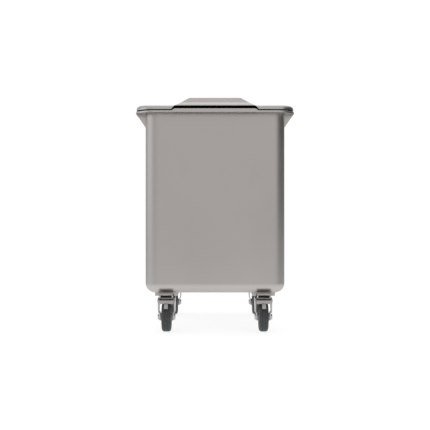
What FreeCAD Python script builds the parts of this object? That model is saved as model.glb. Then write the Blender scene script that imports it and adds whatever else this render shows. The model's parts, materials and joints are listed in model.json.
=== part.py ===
import FreeCAD, Part
import math
import os

# Mobile stainless ingredient bin: straight-walled tub, folded rim with flared side aprons,
# rear-hinged lid with a raised finger-grip hood, four swivel casters (front pair braked).
# Millimetres. +Z up, Z = 0 is the ground, the grip end faces -Y, origin under the middle.

# ---------------------------------------------------------------- driving dimensions
SHEET = 2.0            # tub, rim and lid sheet
TUB_W = 381.0          # tub outside, side to side
TUB_L = 560.0          # tub outside, front to back
TUB_R = 37.0           # vertical corner radius
FLOOR_Z = 108.5        # underside of the tub floor
FOOT_R = 25.0          # rounded foot edge
TUB_Z1 = 599.0         # top edge of the tub wall, under the rim plate
APRON_Z0 = 564.0       # flared side aprons start on the wall here
APRON_HALF = 240.0     # half-length of each apron

RIM_W = 433.0
RIM_L = 606.0
RIM_R = 55.0
RIM_Z0 = 596.0         # bottom edge of the down-turned lip
RIM_Z1 = 601.0         # top of the rim
RIM_OPEN_W = 377.0
RIM_OPEN_L = 556.0
RIM_OPEN_R = 35.0
STEP_HALF = 108.5      # raised step in the middle of the front rim
STEP_Z = 605.6
STEP_Y1 = -286.0

LID_W = 429.0
LID_Y0 = -301.5
LID_Y1 = 286.0
LID_R = 53.0
LID_Z0 = 604.0
LID_Z1 = 616.0
LID_EDGE_R = 9.0
SLOT_Z1 = 613.6        # top of the finger slot
HOOD_HALF = 108.0      # half-width of the hood at its foot
HOOD_TOP_HALF = 69.2
HOOD_Z = 636.4
SEAL_Z0 = 601.4

HINGE_X = 120.0
HINGE_Y = 294.0
HINGE_Z = 611.0
BARREL_R = 5.0
PIN_R = 2.5

CASTER_X = 133.0
CASTER_Y = 208.0
TRAIL = 30.0
WHEEL_R = 40.0
WHEEL_W = 26.0
AXLE_R = 4.0
PEDAL_PIVOT = (-43.0, 85.0)

V = FreeCAD.Vector
os.makedirs("parts", exist_ok=True)


# ---------------------------------------------------------------- helpers
def rr_wire(w, l, r, z, cy=0.0):
    """Rounded rectangle in a horizontal plane, always the same edge order."""
    a, b = w / 2.0, l / 2.0
    s = math.sqrt(0.5)
    e = []

    def line(x0, y0, x1, y1):
        e.append(Part.LineSegment(V(x0, y0 + cy, z), V(x1, y1 + cy, z)).toShape())

    def arc(cx, cy0, sx, sy, first, last):
        mid = V(cx + sx * r * s, cy0 + sy * r * s + cy, z)
        e.append(Part.Arc(V(first[0], first[1] + cy, z), mid, V(last[0], last[1] + cy, z)).toShape())

    line(-a + r, -b, a - r, -b)
    arc(a - r, -b + r, 1, -1, (a - r, -b), (a, -b + r))
    line(a, -b + r, a, b - r)
    arc(a - r, b - r, 1, 1, (a, b - r), (a - r, b))
    line(a - r, b, -a + r, b)
    arc(-a + r, b - r, -1, 1, (-a + r, b), (-a, b - r))
    line(-a, b - r, -a, -b + r)
    arc(-a + r, -b + r, -1, -1, (-a, -b + r), (-a + r, -b))
    return Part.Wire(e)


def rr_prism(w, l, r, z0, z1, cy=0.0):
    return Part.Face(rr_wire(w, l, r, z0, cy)).extrude(V(0, 0, z1 - z0))


def edges_at_z(shape, z):
    out = []
    for e in shape.Edges:
        b = e.BoundBox
        if abs(b.ZMin - z) < 1e-4 and abs(b.ZMax - z) < 1e-4:
            out.append(e)
    return out


def box(x0, x1, y0, y1, z0, z1):
    return Part.makeBox(x1 - x0, y1 - y0, z1 - z0, V(x0, y0, z0))


def cyl_x(r, x0, x1, y, z):
    return Part.makeCylinder(r, x1 - x0, V(x0, y, z), V(1, 0, 0))


def cyl_z(r, x, y, z0, z1):
    return Part.makeCylinder(r, z1 - z0, V(x, y, z0), V(0, 0, 1))


def prism_xz(pts, y0, y1):
    w = Part.makePolygon([V(x, y0, z) for x, z in pts] + [V(pts[0][0], y0, pts[0][1])])
    return Part.Face(w).extrude(V(0, y1 - y0, 0))


def prism_yz(pts, x0, x1):
    w = Part.makePolygon([V(x0, y, z) for y, z in pts] + [V(x0, pts[0][0], pts[0][1])])
    return Part.Face(w).extrude(V(x1 - x0, 0, 0))


def hex_x(af, x0, x1, y, z):
    r = af / math.sqrt(3.0)
    pts = [(y + r * math.cos(math.radians(60 * i + 30)), z + r * math.sin(math.radians(60 * i + 30)))
           for i in range(6)]
    return prism_yz(pts, x0, x1)


def hex_z(af, x, y, z0, z1):
    r = af / math.sqrt(3.0)
    pts = [V(x + r * math.cos(math.radians(60 * i)), y + r * math.sin(math.radians(60 * i)), z0)
           for i in range(6)]
    return Part.Face(Part.makePolygon(pts + [pts[0]])).extrude(V(0, 0, z1 - z0))


def fuse(first, *rest):
    out = first
    for r in rest:
        out = out.fuse(r)
    return out.removeSplitter()


def soften(shape, r, pick):
    """Small rounding on the picked edges."""
    f = shape.makeFillet(r, [e for e in shape.Edges if pick(e.BoundBox)])
    assert f.isValid() and len(f.Solids) == len(shape.Solids)
    return f


def write(name, shape):
    shape.exportStep("parts/%s.step" % name)
    print("%-18s solids %d valid %s volume %.0f" % (name, len(shape.Solids), shape.isValid(), shape.Volume))


# ---------------------------------------------------------------- tub rim
rim_out = rr_prism(RIM_W, RIM_L, RIM_R, RIM_Z0, RIM_Z1)
rim_out = rim_out.makeFillet(2.2, edges_at_z(rim_out, RIM_Z1))
step_out = prism_xz([(-STEP_HALF - 8.5, 599.5), (-STEP_HALF - 8.5, 600.2), (-STEP_HALF, STEP_Z),
                     (STEP_HALF, STEP_Z), (STEP_HALF + 8.5, 600.2), (STEP_HALF + 8.5, 599.5)],
                    -RIM_L / 2, STEP_Y1)
rim = fuse(rim_out, step_out)
rim = rim.cut(rr_prism(RIM_W - 4, RIM_L - 4, RIM_R - 2, RIM_Z0 - 1, RIM_Z1 - SHEET))
rim = rim.cut(rr_prism(RIM_OPEN_W, RIM_OPEN_L, RIM_OPEN_R, RIM_Z0 - 2, RIM_Z1 + 1))
rim = rim.cut(prism_xz([(-STEP_HALF - 6.5, 595), (-STEP_HALF - 5.5, 599.9), (-STEP_HALF + 0.6, STEP_Z - 2),
                        (STEP_HALF - 0.6, STEP_Z - 2), (STEP_HALF + 5.5, 599.9), (STEP_HALF + 6.5, 595)],
                       -RIM_L / 2 + 2, STEP_Y1 - 2))

# ---------------------------------------------------------------- tub shell


def tub_solid(off, z_floor, foot_r):
    """The tub's outer skin moved inwards by off, as a solid."""
    body = rr_prism(TUB_W - 2 * off, TUB_L - 2 * off, TUB_R - off, z_floor, TUB_Z1)
    return body.makeFillet(foot_r, edges_at_z(body, z_floor))


tub = tub_solid(0.0, FLOOR_Z, FOOT_R).cut(tub_solid(SHEET, FLOOR_Z + SHEET, FOOT_R - SHEET))

# flared side aprons: folded strips from the wall out to the rim lip, with closed ends
aprons = {}
for tag, s in (("l", -1), ("r", 1)):
    xw, xl = TUB_W / 2, RIM_W / 2 - 2.0
    prof = [(s * xw, APRON_Z0 - 3), (s * (xw + 1.2), APRON_Z0 - 3), (s * (xl + 0.0), 595.6), (s * xl, TUB_Z1),
            (s * (xl - 2.4), TUB_Z1), (s * (xl - 2.4), 596.2), (s * (xw + 1.8), APRON_Z0 + 4.4),
            (s * (xw + 1.8), APRON_Z0 + 12), (s * xw, APRON_Z0 + 12)]
    strip = prism_xz(prof, -APRON_HALF, APRON_HALF)
    tri = [(s * xw, APRON_Z0 - 3), (s * (xw + 1.2), APRON_Z0 - 3), (s * xl, 595.6), (s * xl, TUB_Z1), (s * xw, TUB_Z1)]
    strip = strip.fuse(prism_xz(tri, -APRON_HALF, -APRON_HALF + 1.8)).fuse(
        prism_xz(tri, APRON_HALF - 1.8, APRON_HALF)).removeSplitter()
    aprons[tag] = strip

# ---------------------------------------------------------------- lid
LID_L = LID_Y1 - LID_Y0
LID_CY = (LID_Y1 + LID_Y0) / 2.0
pan = rr_prism(LID_W, LID_L, LID_R, LID_Z0, LID_Z1, LID_CY)
pan = pan.makeFillet(LID_EDGE_R, edges_at_z(pan, LID_Z1))
pan_in = rr_prism(LID_W - 4, LID_L - 4, LID_R - 2, LID_Z0 + 1.5, LID_Z1 - SHEET, LID_CY)
pan_in = pan_in.makeFillet(LID_EDGE_R - SHEET, edges_at_z(pan_in, LID_Z1 - SHEET))
pan_open = rr_prism(LID_W - 22, LID_L - 22, LID_R - 11, LID_Z0 - 1, LID_Z0 + 2, LID_CY)


HOOD_K = (HOOD_HALF - HOOD_TOP_HALF) / (HOOD_Z - SLOT_Z1)      # how fast the hood's sides lean in


def hood_block(profile, half):
    """Hood profile from the side, cut to the leaning side planes."""
    up = 650.0
    sides = prism_xz([(-half - HOOD_K * 10, SLOT_Z1 - 10), (half + HOOD_K * 10, SLOT_Z1 - 10),
                      (half - HOOD_K * (up - SLOT_Z1), up), (-half + HOOD_K * (up - SLOT_Z1), up)], -320, -100)
    return prism_yz(profile, -150, 150).common(sides)


hood = hood_block([(LID_Y0, SLOT_Z1), (LID_Y0, 615.7), (-296.0, 622.6), (-288.6, HOOD_Z), (-274.0, HOOD_Z),
                   (-141.35, SLOT_Z1)], HOOD_HALF)
hood_ridges = []
for e in hood.Edges:
    p, q = e.Vertexes[0].Point, e.Vertexes[-1].Point
    if min(p.z, q.z) < SLOT_Z1 + 0.5 and abs(p.y - q.y) < 20.0:
        continue
    if max(p.z, q.z) < SLOT_Z1 + 0.5:
        continue
    along = abs(p.y - q.y) > 1.0
    across = abs(p.y - q.y) < 1e-3 and abs(p.x - q.x) > 50 and -297 < p.y < -270
    if along or across:
        hood_ridges.append(e)
hood = hood.makeFillet(2.6, hood_ridges)
hood_in = hood_block([(LID_Y0 + 2.1, 610.0), (LID_Y0 + 2.1, 615.2), (-294.5, 621.4), (-287.5, HOOD_Z - 2.0),
                      (-274.4, HOOD_Z - 2.0), (-132.2, 610.0)], HOOD_HALF - 2.4)
slot_cut = prism_xz([(-118.5, LID_Z0 - 1), (-109.5, SLOT_Z1), (109.5, SLOT_Z1), (118.5, LID_Z0 - 1)],
                    LID_Y0 - 8, -284.0)
# the grip hood is its own pressing, set into a cut-out in the lid and welded all round
lid = pan.cut(pan_in).cut(pan_open).cut(hood).cut(slot_cut)
lid_hood = hood.cut(hood_in).cut(slot_cut)
# recessed seats for the hinge leaves, so that the lid's top stays flat
for hx in (-HINGE_X, HINGE_X):
    seat = box(hx - 30.5, hx + 30.5, 231.5, 281.0, LID_Z1 - 2 * SHEET, LID_Z1 - SHEET)
    pocket = box(hx - 28.2, hx + 28.2, 235.8, 290.0, LID_Z1 - SHEET, LID_Z1 + 1)
    lid = lid.fuse(seat.common(pan)).cut(pocket)

# black pocket behind the finger slot: lines the hood, slopes down to a foot that carries the gasket
liner_bound = hood_in.fuse(box(-105.2, 105.2, -299.0, -240.0, 604.2, 610.2))
liner_band = prism_yz([(-298.9, 612.0), (-298.9, 618.0), (-291.4, 632.0), (-286.7, 640.0), (-256.0, 640.0),
                       (-256.0, 629.0), (-274.6, 604.2), (-284.8, 604.2), (-284.8, 606.2), (-276.2, 606.2),
                       (-258.4, 630.0), (-260.0, 630.6), (-274.2, 632.6), (-285.6, 632.6), (-289.8, 624.2),
                       (-297.2, 612.0)], -120, 120)
side_pts = [(-298.8, 607.4), (-298.8, 613.0), (-291.4, 626.0), (-286.7, 634.0), (-262.0, 632.0), (-258.6, 628.0),
            (-275.6, 604.2), (-284.8, 604.2), (-284.8, 607.4)]
liner_sides = prism_yz(side_pts, -105.2, -103.6).fuse(prism_yz(side_pts, 103.6, 105.2))
liner = liner_band.fuse(liner_sides).common(liner_bound).removeSplitter()

# gasket: a ring under the lid's return flange, stepped back behind the raised step of the rim
seal = rr_prism(LID_W - 4, LID_L - 4, LID_R - 2, SEAL_Z0, LID_Z0, LID_CY).cut(
    rr_prism(LID_W - 18, LID_L - 18, LID_R - 9, SEAL_Z0 - 1, LID_Z0 + 1, LID_CY))
seal = seal.cut(box(-119.0, 119.0, -310, -287.0, 600, 606))
seal = fuse(seal, box(-125.0, 125.0, -284.8, -278.2, SEAL_Z0, LID_Z0),
            box(-125.0, -119.0, -298.5, -278.2, SEAL_Z0, LID_Z0),
            box(119.0, 125.0, -298.5, -278.2, SEAL_Z0, LID_Z0))

# ---------------------------------------------------------------- lid hinges
brackets, leaves, pins, lid_rivets, rim_rivets = {}, {}, {}, [], []
for tag, hx in (("l", -HINGE_X), ("r", HINGE_X)):
    base = box(hx - 35, hx + 35, 288.5, 301.5, RIM_Z1, RIM_Z1 + 2)
    parts = []
    for k0, k1 in ((-35.0, -16.5), (16.5, 35.0)):
        parts.append(cyl_x(BARREL_R, hx + k0, hx + k1, HINGE_Y, HINGE_Z))
        parts.append(box(hx + k0, hx + k1, HINGE_Y - 2, HINGE_Y + 2, RIM_Z1 + 2, HINGE_Z))
    br = fuse(base, *parts).cut(cyl_x(PIN_R, hx - 40, hx + 40, HINGE_Y, HINGE_Z))
    leaf = fuse(cyl_x(BARREL_R, hx - 16, hx + 16, HINGE_Y, HINGE_Z),
                box(hx - 16, hx + 16, 284, HINGE_Y, LID_Z1 - 2, LID_Z1),
                box(hx - 28, hx + 28, 236, 287.4, LID_Z1 - 2, LID_Z1))
    leaf = leaf.cut(cyl_x(PIN_R + 0.06, hx - 40, hx + 40, HINGE_Y, HINGE_Z))
    leaf = leaf.cut(lid)
    for rx, ry in ((-18, 246), (18, 246), (0, 264)):
        x = hx + rx
        # countersunk, flush with the leaf
        rv = fuse(cyl_z(2.0, x, ry, LID_Z1 - 5.4, LID_Z1 - 1.6),
                  Part.makeCone(2.0, 3.6, 1.6, V(x, ry, LID_Z1 - 1.6)),
                  cyl_z(3.2, x, ry, LID_Z1 - 5.4, LID_Z1 - 4.0))
        hole = cyl_z(2.0, x, ry, LID_Z1 - 6, LID_Z1 + 1).fuse(Part.makeCone(2.0, 3.6, 1.6, V(x, ry, LID_Z1 - 1.6)))
        leaf = leaf.cut(hole)
        lid = lid.cut(hole)
        lid_rivets.append(rv)
    for rx in (-9.0, 9.0):
        x = hx + rx
        rv = fuse(cyl_z(2.0, x, 295.0, RIM_Z1 - 3.4, RIM_Z1 + 2.0),
                  Part.makeCone(3.8, 2.4, 1.6, V(x, 295.0, RIM_Z1 + 2.0)),
                  cyl_z(3.2, x, 295.0, RIM_Z1 - 3.6, RIM_Z1 - 2.0))
        hole = cyl_z(2.0, x, 295.0, RIM_Z1 - 5, RIM_Z1 + 3)
        br = br.cut(hole)
        rim = rim.cut(hole)
        rim_rivets.append(rv)
    pin = fuse(cyl_x(PIN_R, hx - 35, hx + 35, HINGE_Y, HINGE_Z),
               cyl_x(3.6, hx - 36.4, hx - 35, HINGE_Y, HINGE_Z),
               cyl_x(3.6, hx + 35, hx + 36.4, HINGE_Y, HINGE_Z))
    brackets[tag], leaves[tag], pins[tag] = br, leaf, pin

# ---------------------------------------------------------------- casters
doublers, screws, covers = [], [], []
made = {}
for tag, cx, cy in (("fl", -CASTER_X, -CASTER_Y), ("fr", CASTER_X, -CASTER_Y),
                    ("rl", -CASTER_X, CASTER_Y), ("rr", CASTER_X, CASTER_Y)):
    ax, az = cy - TRAIL, WHEEL_R      # the wheel's axle, behind the swivel axis towards -Y
    # plate with the conical dish, doubler above it
    plate = rr_prism(64, 84, 8, 104.0, 106.5)
    plate = soften(plate, 0.8, lambda b: b.ZMax < 104.01)
    plate = plate.fuse(Part.makeCone(21.5, 31.0, 10.0, V(0, 0, 94.0))).removeSplitter()
    plate = plate.cut(cyl_z(19.3, 0, 0, 93.0, 97.6)).cut(cyl_z(5.0, 0, 0, 90, 110))
    doubler = rr_prism(65, 92, 10, 106.5, FLOOR_Z)
    doubler = doubler.cut(cyl_z(6.0, 0, 0, 106, 109))
    for sx in (-24, 24):
        for sy in (-34, 34):
            hole = cyl_z(4.0, sx, sy, 100, 110)
            plate = plate.cut(hole)
            doubler = doubler.cut(hole)
            sc = fuse(cyl_z(4.0, sx, sy, 104.0, FLOOR_Z), hex_z(13.0, sx, sy, 98.7, 102.9),
                      cyl_z(7.6, sx, sy, 102.9, 104.0))
            sc.translate(V(cx, cy, 0))
            screws.append(sc)
    kingpin = fuse(cyl_z(5.0, 0, 0, 86.0, 106.5), cyl_z(9.0, 0, 0, 86.0, 89.6))
    # conical dust cover over the swivel dish
    cover = Part.makeCone(22.6, 32.1, 9.7, V(0, 0, 94.2)).common(cyl_z(31.8, 0, 0, 94.0, 104.0))
    cover = cover.cut(plate).cut(cyl_z(20.6, 0, 0, 90, 110))
    for s in (plate, doubler, kingpin, cover):
        s.translate(V(cx, cy, 0))
    doublers.append(doubler)
    covers.append(cover)
    made["caster_plate_" + tag] = plate
    made["kingpin_" + tag] = kingpin

    # fork: crown and two stepped legs
    side = [(18, 93), (18, 84), (14, 78)]
    for a in range(-25, -171, -12):
        side.append((-TRAIL + 9.6 * math.cos(math.radians(a)), WHEEL_R + 9.6 * math.sin(math.radians(a))))
    side += [(-44, 62), (-50, 78), (-50, 88), (-46, 93)]
    legs = []
    for s in (-1, 1):
        prof = [(s * 23.5, 93), (s * 23.5, 54), (s * 20, 49), (s * 20, 25), (s * 17, 25),
                (s * 17, 50.2), (s * 20.5, 55.2), (s * 20.5, 93)]
        legs.append(prism_yz(side, -25, 25).common(prism_xz(prof, -60, 30)))
    crown = cyl_z(23.5, 0, 0, 90.0, 93.0).fuse(box(-23.5, 23.5, -34, 0, 90.0, 93.0))
    fork = fuse(crown, *legs)
    fork = soften(fork, 0.7, lambda b: b.XLength < 1e-3 and 23.49 < abs(b.XMin) < 23.51 and b.YLength < 8.0
                  and b.ZMax < 92.9 and b.ZLength > 4.0)
    fork = fork.cut(cyl_z(5.1, 0, 0, 80, 100)).cut(cyl_x(AXLE_R, -30, 30, -TRAIL, WHEEL_R))
    if tag[0] == "f":
        fork = fork.cut(cyl_x(2.5, -30, 30, PEDAL_PIVOT[0], PEDAL_PIVOT[1]))
    balls = Part.makeCompound([Part.makeSphere(2.1, V(15.5 * math.cos(math.radians(a)),
                                                      15.5 * math.sin(math.radians(a)), 95.15))
                               for a in range(0, 360, 30)])
    bolt = fuse(cyl_x(AXLE_R, -20.0, 24.0, -TRAIL, WHEEL_R), hex_x(13.0, -24.2, -20.0, -TRAIL, WHEEL_R))
    nut = hex_x(13.0, 20.0, 24.2, -TRAIL, WHEEL_R).cut(cyl_x(AXLE_R, 19, 26, -TRAIL, WHEEL_R))
    tyre = cyl_x(WHEEL_R, -WHEEL_W / 2, WHEEL_W / 2, -TRAIL, WHEEL_R)
    tyre = tyre.makeFillet(8.0, [e for e in tyre.Edges if e.BoundBox.XLength < 1e-4])
    tyre = tyre.cut(cyl_x(31.0, -20, 20, -TRAIL, WHEEL_R))
    core = fuse(cyl_x(31.0, -11.8, 11.8, -TRAIL, WHEEL_R).cut(cyl_x(27.0, -20, 20, -TRAIL, WHEEL_R)),
                cyl_x(28.0, -8.5, 8.5, -TRAIL, WHEEL_R), cyl_x(11.0, -16.5, 16.5, -TRAIL, WHEEL_R))
    core = core.cut(cyl_x(6.0, -20, 20, -TRAIL, WHEEL_R))
    bush = cyl_x(6.0, -16.6, 16.6, -TRAIL, WHEEL_R).cut(cyl_x(AXLE_R + 0.05, -20, 20, -TRAIL, WHEEL_R))
    for s in (fork, balls, bolt, nut, tyre, core, bush):
        s.translate(V(cx, cy, 0))
    made["fork_" + tag] = fork
    made["bearing_balls_" + tag] = balls
    made["axle_bolt_" + tag] = bolt
    made["axle_nut_" + tag] = nut
    made["tyre_" + tag] = tyre
    made["wheel_core_" + tag] = core
    made["wheel_bush_" + tag] = bush

    if tag[0] == "f":
        py, pz = PEDAL_PIVOT
        hub = cyl_x(4.6, -20.0, 20.0, py, pz)
        tongue = prism_yz([(-44, 80.6), (-50, 80.4), (-57, 77.6), (-63.5, 73), (-67.5, 66), (-71, 66),
                           (-67.4, 75.6), (-59, 84), (-46, 89.2)], -5.25, 5.25)
        shield = prism_yz([(-44, 80.6), (-50, 80.4), (-57, 78.2), (-60.6, 78.2), (-61.6, 79.4), (-61.2, 87.2),
                           (-59.6, 88.8), (-47, 91.0), (-44, 89.6)], -19.8, 19.8)
        arm = prism_yz([(-43, 86.5), (-43, 89.6), (-55.5, 95.6), (-60.5, 103.4), (-75.0, 107.3),
                        (-75.6, 104.8), (-62.0, 101.2), (-57.4, 93.6), (-46.0, 88.0)], -19.0, 19.0)
        # the pad is carried by two side straps, open between them
        arm = arm.cut(box(-15.5, 15.5, -64.0, -48.0, 91.4, 101.4))
        pedal = fuse(hub, tongue, shield, arm)
        pedal = soften(pedal, 0.9, lambda b: b.XLength > 30 and b.ZMin > 104.0)
        pedal = soften(pedal, 0.8, lambda b: b.XLength > 30 and b.YMax < -59.0 and 86.5 < b.ZMin < 89.5)
        pedal = pedal.cut(cyl_x(2.56, -30, 30, py, pz))
        bpin = fuse(cyl_x(2.5, -23.5, 23.5, py, pz), cyl_x(4.0, -24.7, -23.5, py, pz),
                    cyl_x(4.0, 23.5, 24.7, py, pz))
        for s in (pedal, bpin):
            s.translate(V(cx, cy, 0))
        made["brake_pedal_" + tag] = pedal
        made["brake_pin_" + tag] = bpin

# ---------------------------------------------------------------- write the nodes
write("tub_shell", tub)
write("tub_rim", rim)
write("tub_doublers", Part.makeCompound(doublers))
write("caster_screws", Part.makeCompound(screws))
write("swivel_covers", Part.makeCompound(covers))
write("side_apron_l", aprons["l"])
write("side_apron_r", aprons["r"])
write("lid_shell", lid)
write("lid_hood", lid_hood)
write("grip_liner", liner)
write("lid_seal", seal)
for tag in ("l", "r"):
    write("hinge_bracket_" + tag, brackets[tag])
    write("hinge_leaf_" + tag, leaves[tag])
    write("hinge_pin_" + tag, pins[tag])
write("lid_rivets", Part.makeCompound(lid_rivets))
write("rim_rivets", Part.makeCompound(rim_rivets))
for name in sorted(made):
    write(name, made[name])
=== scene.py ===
import json
import math
import bpy
import bmesh
from mathutils import Vector, Matrix


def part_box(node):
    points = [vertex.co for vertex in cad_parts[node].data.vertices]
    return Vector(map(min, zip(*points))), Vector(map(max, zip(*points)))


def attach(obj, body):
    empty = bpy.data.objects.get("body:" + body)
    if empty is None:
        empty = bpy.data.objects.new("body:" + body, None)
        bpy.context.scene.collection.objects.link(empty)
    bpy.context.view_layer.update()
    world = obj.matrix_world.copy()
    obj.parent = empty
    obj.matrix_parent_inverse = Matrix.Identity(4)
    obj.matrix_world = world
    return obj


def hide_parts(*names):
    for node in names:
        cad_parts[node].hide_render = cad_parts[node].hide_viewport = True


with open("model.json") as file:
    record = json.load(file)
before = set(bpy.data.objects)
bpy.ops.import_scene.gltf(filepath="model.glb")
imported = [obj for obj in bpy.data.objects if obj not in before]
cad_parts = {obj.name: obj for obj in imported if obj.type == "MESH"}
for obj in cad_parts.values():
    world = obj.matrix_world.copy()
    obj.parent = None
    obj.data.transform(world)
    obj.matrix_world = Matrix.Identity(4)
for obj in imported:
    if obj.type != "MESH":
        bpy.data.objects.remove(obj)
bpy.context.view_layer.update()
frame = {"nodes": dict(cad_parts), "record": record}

scene = bpy.context.scene
CORNERS = ("fl", "fr", "rl", "rr")


# ------------------------------------------------------------------ material helpers
def new_mat(name):
    m = bpy.data.materials.new(name)
    m.use_nodes = True
    nt = m.node_tree
    bsdf = next(n for n in nt.nodes if n.type == "BSDF_PRINCIPLED")
    return m, nt, bsdf


def node(nt, kind, **props):
    n = nt.nodes.new(kind)
    for k, v in props.items():
        setattr(n, k, v)
    return n


def coords(nt, scale=(1, 1, 1), rot=(0, 0, 0)):
    tc = node(nt, "ShaderNodeTexCoord")
    mp = node(nt, "ShaderNodeMapping")
    mp.inputs["Scale"].default_value = scale
    mp.inputs["Rotation"].default_value = rot
    nt.links.new(tc.outputs["Object"], mp.inputs["Vector"])
    return mp.outputs["Vector"]


def noise(nt, vec, scale, detail=3.0, rough=0.5):
    n = node(nt, "ShaderNodeTexNoise")
    n.inputs["Scale"].default_value = scale
    n.inputs["Detail"].default_value = detail
    n.inputs["Roughness"].default_value = rough
    nt.links.new(vec, n.inputs["Vector"])
    return n.outputs["Fac"]


def remap(nt, val, a, b, lo, hi):
    n = node(nt, "ShaderNodeMapRange")
    n.inputs["From Min"].default_value = a
    n.inputs["From Max"].default_value = b
    n.inputs["To Min"].default_value = lo
    n.inputs["To Max"].default_value = hi
    nt.links.new(val, n.inputs["Value"])
    return n.outputs["Result"]


def math_node(nt, op, a, b, clamp=False):
    n = node(nt, "ShaderNodeMath", operation=op, use_clamp=clamp)
    for i, v in enumerate((a, b)):
        if isinstance(v, (int, float)):
            n.inputs[i].default_value = v
        else:
            nt.links.new(v, n.inputs[i])
    return n.outputs[0]


def mix_col(nt, fac, ca, cb):
    n = node(nt, "ShaderNodeMix", data_type="RGBA")
    if isinstance(fac, (int, float)):
        n.inputs["Factor"].default_value = fac
    else:
        nt.links.new(fac, n.inputs["Factor"])
    for name, c in (("A", ca), ("B", cb)):
        s = [i for i in n.inputs if i.name == name and i.type == "RGBA"][0]
        if isinstance(c, tuple):
            s.default_value = c if len(c) == 4 else c + (1.0,)
        else:
            nt.links.new(c, s)
    return [o for o in n.outputs if o.type == "RGBA"][0]


def bump(nt, bsdf, height, strength, distance):
    b = node(nt, "ShaderNodeBump")
    b.inputs["Strength"].default_value = strength
    b.inputs["Distance"].default_value = distance
    nt.links.new(height, b.inputs["Height"])
    nt.links.new(b.outputs["Normal"], bsdf.inputs["Normal"])


def steel(name, base, rough, brush=(1.0, 1.0, 14.0), grain=0.05, cloud=0.03, wear=0.5, tint=0.04):
    """Satin stainless sheet: fine directional grain, faint clouding, wiped-on smudges."""
    m, nt, bs = new_mat(name)
    bs.inputs["Metallic"].default_value = 1.0
    base_v = coords(nt)
    long_v = coords(nt, brush)
    fine = noise(nt, long_v, 420.0, 2.0, 0.6)
    mid = noise(nt, long_v, 90.0, 3.0, 0.55)
    big = noise(nt, base_v, 5.0, 4.0, 0.55)
    smear = noise(nt, coords(nt, (1.0, 1.0, 0.35), (0.3, 0.2, 0.0)), 16.0, 5.0, 0.6)
    # colour: two close tones by grain, then faint clouding
    dark = tuple(c * (1.0 - tint) for c in base)
    light = tuple(min(1.0, c * (1.0 + tint)) for c in base)
    tone = math_node(nt, "ADD", math_node(nt, "MULTIPLY", fine, 0.35), math_node(nt, "MULTIPLY", big, 0.65))
    col = mix_col(nt, remap(nt, tone, 0.3, 0.7, 0.0, 1.0), dark, light)
    haze = tuple(c * 0.93 for c in base)
    col = mix_col(nt, remap(nt, smear, 0.58, 0.75, 0.0, 0.35), col, haze)
    nt.links.new(col, bs.inputs["Base Color"])
    # roughness: grain plus clouding plus smudges
    r = math_node(nt, "ADD", remap(nt, mid, 0.3, 0.7, -grain, grain), remap(nt, big, 0.3, 0.7, rough - cloud, rough + cloud))
    r = math_node(nt, "ADD", r, remap(nt, smear, 0.55, 0.8, 0.0, 0.07 * wear))
    nt.links.new(r, bs.inputs["Roughness"])
    h = math_node(nt, "ADD", math_node(nt, "MULTIPLY", fine, 0.5), math_node(nt, "MULTIPLY", mid, 0.5))
    bump(nt, bs, h, 0.05, 0.00010)
    return m


def plated(name, base, rough, spangle=0.06):
    """Zinc-bright pressed steel: mottled reflectance, slightly orange-peeled, dulled in patches."""
    m, nt, bs = new_mat(name)
    bs.inputs["Metallic"].default_value = 1.0
    v = coords(nt)
    a = noise(nt, v, 220.0, 4.0, 0.6)
    b = noise(nt, v, 28.0, 4.0, 0.6)
    vor = node(nt, "ShaderNodeTexVoronoi")
    vor.inputs["Scale"].default_value = 340.0
    nt.links.new(v, vor.inputs["Vector"])
    tone = math_node(nt, "ADD", math_node(nt, "MULTIPLY", vor.outputs["Distance"], 0.4), math_node(nt, "MULTIPLY", b, 0.6))
    col = mix_col(nt, remap(nt, tone, 0.2, 0.7, 0.0, 1.0), tuple(c * (1 - spangle) for c in base), tuple(min(1, c * (1 + spangle)) for c in base))
    dirt = tuple(c * 0.55 for c in base)
    col = mix_col(nt, remap(nt, b, 0.60, 0.78, 0.0, 0.45), col, dirt)
    nt.links.new(col, bs.inputs["Base Color"])
    r = math_node(nt, "ADD", remap(nt, a, 0.3, 0.7, rough - 0.05, rough + 0.05), remap(nt, b, 0.5, 0.8, 0.0, 0.15))
    nt.links.new(r, bs.inputs["Roughness"])
    bump(nt, bs, a, 0.12, 0.0001)
    return m


def rubber(name, base, rough, dust=(0.30, 0.29, 0.27), dusty=0.25, scale=260.0, spec=0.4):
    m, nt, bs = new_mat(name)
    bs.inputs["Specular IOR Level"].default_value = spec
    v = coords(nt)
    a = noise(nt, v, scale, 4.0, 0.6)
    b = noise(nt, v, 36.0, 5.0, 0.62)
    col = mix_col(nt, remap(nt, a, 0.3, 0.7, 0.0, 1.0), tuple(c * 0.82 for c in base), tuple(c * 1.22 for c in base))
    col = mix_col(nt, remap(nt, b, 0.5, 0.8, 0.0, dusty), col, dust)
    nt.links.new(col, bs.inputs["Base Color"])
    nt.links.new(remap(nt, b, 0.3, 0.75, rough - 0.06, rough + 0.14), bs.inputs["Roughness"])
    bump(nt, bs, a, 0.22, 0.00018)
    return m


def moulded(name, base, rough, var=0.10, scale=900.0, spec=0.5):
    m, nt, bs = new_mat(name)
    bs.inputs["Specular IOR Level"].default_value = spec
    v = coords(nt)
    a = noise(nt, v, scale, 2.0, 0.5)
    b = noise(nt, v, 30.0, 4.0, 0.6)
    col = mix_col(nt, remap(nt, b, 0.3, 0.7, 0.0, 1.0), tuple(c * (1 - var) for c in base), tuple(c * (1 + var) for c in base))
    nt.links.new(col, bs.inputs["Base Color"])
    nt.links.new(remap(nt, b, 0.3, 0.7, rough - 0.05, rough + 0.08), bs.inputs["Roughness"])
    bump(nt, bs, a, 0.15, 0.00008)
    return m


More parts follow.
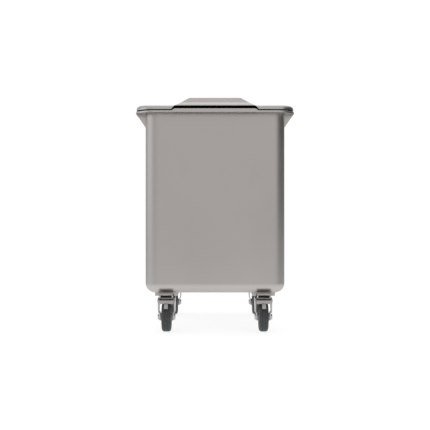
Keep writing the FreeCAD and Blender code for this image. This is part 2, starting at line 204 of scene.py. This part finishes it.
M = {
    "tub_steel": steel("tub_steel_satin", (0.630, 0.602, 0.585), 0.36, (1.0, 1.0, 16.0)),
    "rim_steel": steel("rim_steel_satin", (0.650, 0.628, 0.612), 0.27, (1.0, 1.0, 6.0)),
    "lid_steel": steel("lid_steel_satin", (0.650, 0.632, 0.618), 0.29, (14.0, 1.0, 1.0)),
    # seal: near-black silicone gasket between lid and rim, partly real rubber and partly painted shadow of the gap
    # between lid and rim
    "seal_rubber": rubber("seal_silicone_and_painted_gap_shadow", (0.008, 0.008, 0.0085), 0.75, (0.02, 0.02, 0.02), 0.2, 260.0, 0.12),
    # grip liner: near-black sheet inside the grip recess under the lid hood, painted shade of the recess
    "black_plastic": moulded("liner_painted_recess_shade", (0.0025, 0.0025, 0.0028), 0.85, 0.15, 900.0, 0.05),
    "caster_steel": plated("caster_zinc", (0.56, 0.555, 0.55), 0.26),
    "fastener_steel": plated("fastener_steel", (0.66, 0.65, 0.64), 0.22, 0.04),
    "tyre_rubber": rubber("tyre_grey_rubber", (0.050, 0.056, 0.060), 0.46, (0.15, 0.15, 0.15), 0.32, 260.0, 0.5),
    "core_plastic": moulded("core_grey_polymer", (0.30, 0.31, 0.32), 0.42),
    "bush_nylon": moulded("bush_nylon", (0.72, 0.71, 0.66), 0.40, 0.05),
    # caster dish covers: dark grey polymer, partly the part's own colour and partly painted shade of the
    # downward-facing dish under the tub
    "cover_polymer": moulded("cover_polymer_and_painted_dish_shade", (0.060, 0.061, 0.063), 0.50, 0.12, 700.0, 0.35),
}


def paint(obj, mat):
    if len(obj.material_slots) == 0:
        obj.data.materials.append(mat)
    for s in obj.material_slots:
        s.material = mat


slot_of = {s["node"]: s["material_slot"] for s in frame["record"]["subparts"]}
for name, obj in frame["nodes"].items():
    key = slot_of[name]
    if name in ("tub_rim", "side_apron_l", "side_apron_r"):
        key = "rim_steel"
    paint(obj, M[key])


# ------------------------------------------------------------------ mesh helpers
MM = 0.001


def link(name, bm, mat, body, smooth_deg=32.0):
    me = bpy.data.meshes.new(name)
    bmesh.ops.recalc_face_normals(bm, faces=bm.faces)
    bm.to_mesh(me)
    bm.free()
    o = bpy.data.objects.new(name, me)
    scene.collection.objects.link(o)
    me.materials.append(mat)
    me.polygons.foreach_set("use_smooth", [True] * len(me.polygons))
    me.set_sharp_from_angle(angle=math.radians(smooth_deg))
    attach(o, body)
    return o


def revolve_x(bm, profile, cx, cy, cz, seg=96, wobble=None):
    """Closed profile of (x, r) in mm turned about the X axis through (cx, cy, cz) in metres."""
    rings = []
    for i in range(seg):
        a = 2 * math.pi * i / seg
        ring = []
        for x, r in profile:
            ring.append(bm.verts.new((cx + x * MM, cy + r * MM * math.cos(a), cz + r * MM * math.sin(a))))
        rings.append(ring)
    n = len(profile)
    for i in range(seg):
        p, q = rings[i], rings[(i + 1) % seg]
        for j in range(n):
            k = (j + 1) % n
            bm.faces.new((p[j], p[k], q[k], q[j]))


def wheel_centre(c):
    lo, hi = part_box("tyre_" + c)
    return [(a + b) / 2 for a, b in zip(lo, hi)]


def tyre_profile():
    half = []
    for x in (0.0, 1.5, 3.4):
        half.append((x, 40.0))
    half += [(3.7, 39.3), (4.5, 39.3), (4.8, 39.98)]
    for k in range(1, 15):
        t = math.radians(90.0 * k / 14)
        half.append((5.0 + 7.9 * math.sin(t), 32.0 + 8.0 * math.cos(t)))
    half += [(12.9, 31.9), (12.5, 31.5), (12.2, 31.0)]
    out = [(x, r) for x, r in half]
    left = [(-x, r) for x, r in reversed(half) if x > 0]
    return out + left


def make_tyre(c):
    cx, cy, cz = wheel_centre(c)
    bm = bmesh.new()
    revolve_x(bm, tyre_profile(), cx, cy, cz, 144)
    o = link("tyre_tread_" + c, bm, M["tyre_rubber"], "wheel_" + c, 28.0)
    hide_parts("tyre_" + c)


def make_core(c):
    cx, cy, cz = wheel_centre(c)
    bm = bmesh.new()
    rim = [(-11.8, 30.2), (-11.2, 30.95), (11.2, 30.95), (11.8, 30.2), (11.8, 28.2), (11.0, 27.4), (7.5, 26.6),
           (4.2, 25.4), (3.0, 24.0), (-3.0, 24.0), (-4.2, 25.4), (-7.5, 26.6), (-11.0, 27.4), (-11.8, 28.2)]
    revolve_x(bm, rim, cx, cy, cz, 120)
    web = [(-2.6, 24.6), (2.6, 24.6), (2.2, 18.0), (2.8, 10.4), (-2.8, 10.4), (-2.2, 18.0)]
    revolve_x(bm, web, cx, cy, cz, 96)
    hub = [(-16.5, 9.6), (-15.6, 10.5), (-9.0, 11.0), (9.0, 11.0), (15.6, 10.5), (16.5, 9.6), (16.5, 6.05), (-16.5, 6.05)]
    revolve_x(bm, hub, cx, cy, cz, 72)
    for side in (-1, 1):
        for i in range(8):
            a = 2 * math.pi * i / 8 + (0.0 if side > 0 else math.pi / 8)
            prof = []
            # radial rib, tapering in height towards the rim
            for r, x in ((10.2, 8.6), (14.0, 7.2), (20.0, 6.4), (25.6, 6.8)):
                prof.append((r, x))
            vs = []
            for t in (-1.1, 1.1):
                row = []
                for r, x in prof:
                    y = r * math.cos(a) - t * math.sin(a)
                    z = r * math.sin(a) + t * math.cos(a)
                    row.append(((cx + side * 2.0 * MM, cy + y * MM, cz + z * MM), (cx + side * x * MM, cy + y * MM, cz + z * MM)))
                vs.append(row)
            grid = [[(bm.verts.new(lo), bm.verts.new(hi)) for lo, hi in row] for row in vs]
            n = len(prof)
            for j in range(n - 1):
                a0, a1 = grid[0][j], grid[0][j + 1]
                b0, b1 = grid[1][j], grid[1][j + 1]
                bm.faces.new((a0[0], a1[0], a1[1], a0[1]))
                bm.faces.new((b0[0], b0[1], b1[1], b1[0]))
                bm.faces.new((a0[1], a1[1], b1[1], b0[1]))
                bm.faces.new((a0[0], b0[0], b1[0], a1[0]))
            for j, flip in ((0, False), (n - 1, True)):
                f = (grid[0][j][0], grid[0][j][1], grid[1][j][1], grid[1][j][0])
                bm.faces.new(f if not flip else tuple(reversed(f)))
    o = link("wheel_hub_" + c, bm, M["core_plastic"], "wheel_" + c, 30.0)
    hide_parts("wheel_core_" + c)


for c in CORNERS:
    make_tyre(c)
    make_core(c)


# ------------------------------------------------------------------ stage, light, camera
def world_light():
    w = bpy.data.worlds.new("studio")
    scene.world = w
    w.use_nodes = True
    nt = w.node_tree
    nt.nodes.clear()
    out = node(nt, "ShaderNodeOutputWorld")
    bg = node(nt, "ShaderNodeBackground")
    tc = node(nt, "ShaderNodeTexCoord")
    d = tc.outputs["Generated"]

    def dot(vec, lo, hi):
        v = node(nt, "ShaderNodeVectorMath", operation="DOT_PRODUCT")
        nt.links.new(d, v.inputs[0])
        v.inputs[1].default_value = vec
        r = node(nt, "ShaderNodeMapRange", interpolation_type="SMOOTHSTEP")
        r.inputs["From Min"].default_value = lo
        r.inputs["From Max"].default_value = hi
        nt.links.new(v.outputs["Value"], r.inputs["Value"])
        return r.outputs["Result"]

    def pick(fac, a, b):
        return mix_col(nt, fac, a, b)

    front = dot((0.0, -1.0, 0.0), -0.45, 0.35)
    col = pick(front, (0.52, 0.52, 0.53), (0.645, 0.626, 0.614))
    dim = dot((-math.sin(math.radians(36)), -math.cos(math.radians(36)), 0.0), 0.90, 0.985)
    col = pick(dim, col, (0.50, 0.49, 0.485))
    left = dot((-math.sin(math.radians(84)), -math.cos(math.radians(84)), 0.0), 0.82, 0.97)
    col = pick(left, col, (0.86, 0.86, 0.86))
    right = dot((math.sin(math.radians(98)), -math.cos(math.radians(98)), 0.0), 0.56, 0.86)
    col = pick(right, col, (0.05, 0.05, 0.05))
    shade = dot((0.0, 0.0, 1.0), 0.45, 0.75)
    col = pick(shade, col, (0.50, 0.487, 0.48))
    up = dot((0.0, 0.5, 1.0), 0.88, 1.07)
    col = pick(up, col, (1.25, 1.25, 1.26))
    nt.links.new(col, bg.inputs["Color"])
    bg.inputs["Strength"].default_value = 1.0
    white = node(nt, "ShaderNodeBackground")
    white.inputs["Color"].default_value = (1, 1, 1, 1)
    white.inputs["Strength"].default_value = 1.05
    lp = node(nt, "ShaderNodeLightPath")
    mx = node(nt, "ShaderNodeMixShader")
    nt.links.new(lp.outputs["Is Camera Ray"], mx.inputs[0])
    nt.links.new(bg.outputs[0], mx.inputs[1])
    nt.links.new(white.outputs[0], mx.inputs[2])
    nt.links.new(mx.outputs[0], out.inputs["Surface"])


def floor():
    me = bpy.data.meshes.new("floor")
    s = 14.0
    me.from_pydata([(-s, -s, 0), (s, -s, 0), (s, s, 0), (-s, s, 0)], [], [(0, 1, 2, 3)])
    o = bpy.data.objects.new("studio_floor", me)
    scene.collection.objects.link(o)
    m, nt, bs = new_mat("studio_floor")
    v = coords(nt)
    n = noise(nt, v, 3.0, 3.0, 0.5)
    nt.links.new(mix_col(nt, n, (0.36, 0.36, 0.36), (0.38, 0.38, 0.38)), bs.inputs["Base Color"])
    bs.inputs["Roughness"].default_value = 0.9
    bs.inputs["Specular IOR Level"].default_value = 0.0
    bs.inputs["Emission Color"].default_value = (1, 1, 1, 1)
    gr = node(nt, "ShaderNodeVectorMath", operation="LENGTH")
    nt.links.new(v, gr.inputs[0])
    near = node(nt, "ShaderNodeMapRange", interpolation_type="SMOOTHSTEP")
    near.inputs["From Min"].default_value = 0.45
    near.inputs["From Max"].default_value = 1.25
    near.inputs["To Min"].default_value = 0.62
    near.inputs["To Max"].default_value = 0.24
    nt.links.new(gr.outputs["Value"], near.inputs["Value"])
    lp = node(nt, "ShaderNodeLightPath")
    seen = node(nt, "ShaderNodeMix", data_type="FLOAT")
    nt.links.new(lp.outputs["Is Camera Ray"], seen.inputs[0])
    nt.links.new(near.outputs["Result"], seen.inputs[2])
    seen.inputs[3].default_value = 0.82
    nt.links.new(seen.outputs[0], bs.inputs["Emission Strength"])
    paint(o, m)
    return o


def area(name, loc, target, size, power):
    l = bpy.data.lights.new(name, "AREA")
    l.shape = "RECTANGLE"
    l.size, l.size_y = size
    l.energy = power
    o = bpy.data.objects.new(name, l)
    scene.collection.objects.link(o)
    o.location = loc
    o.rotation_euler = (Vector(target) - Vector(loc)).to_track_quat("-Z", "Y").to_euler()
    return o


world_light()
floor()
area("softbox_top", (0.0, -0.4, 3.2), (0, 0, 0.4), (3.0, 3.0), 6.0)

cam_data = bpy.data.cameras.new("camera")
cam_data.lens = 72.5
cam_data.sensor_width = 36.0
cam_data.clip_end = 100.0
cam = bpy.data.objects.new("camera", cam_data)
scene.collection.objects.link(cam)
cam.location = (0.0, -2.62, 0.3202)
cam.rotation_euler = (math.pi / 2, 0.0, 0.0)
scene.camera = cam
scene.view_settings.view_transform = "Standard"
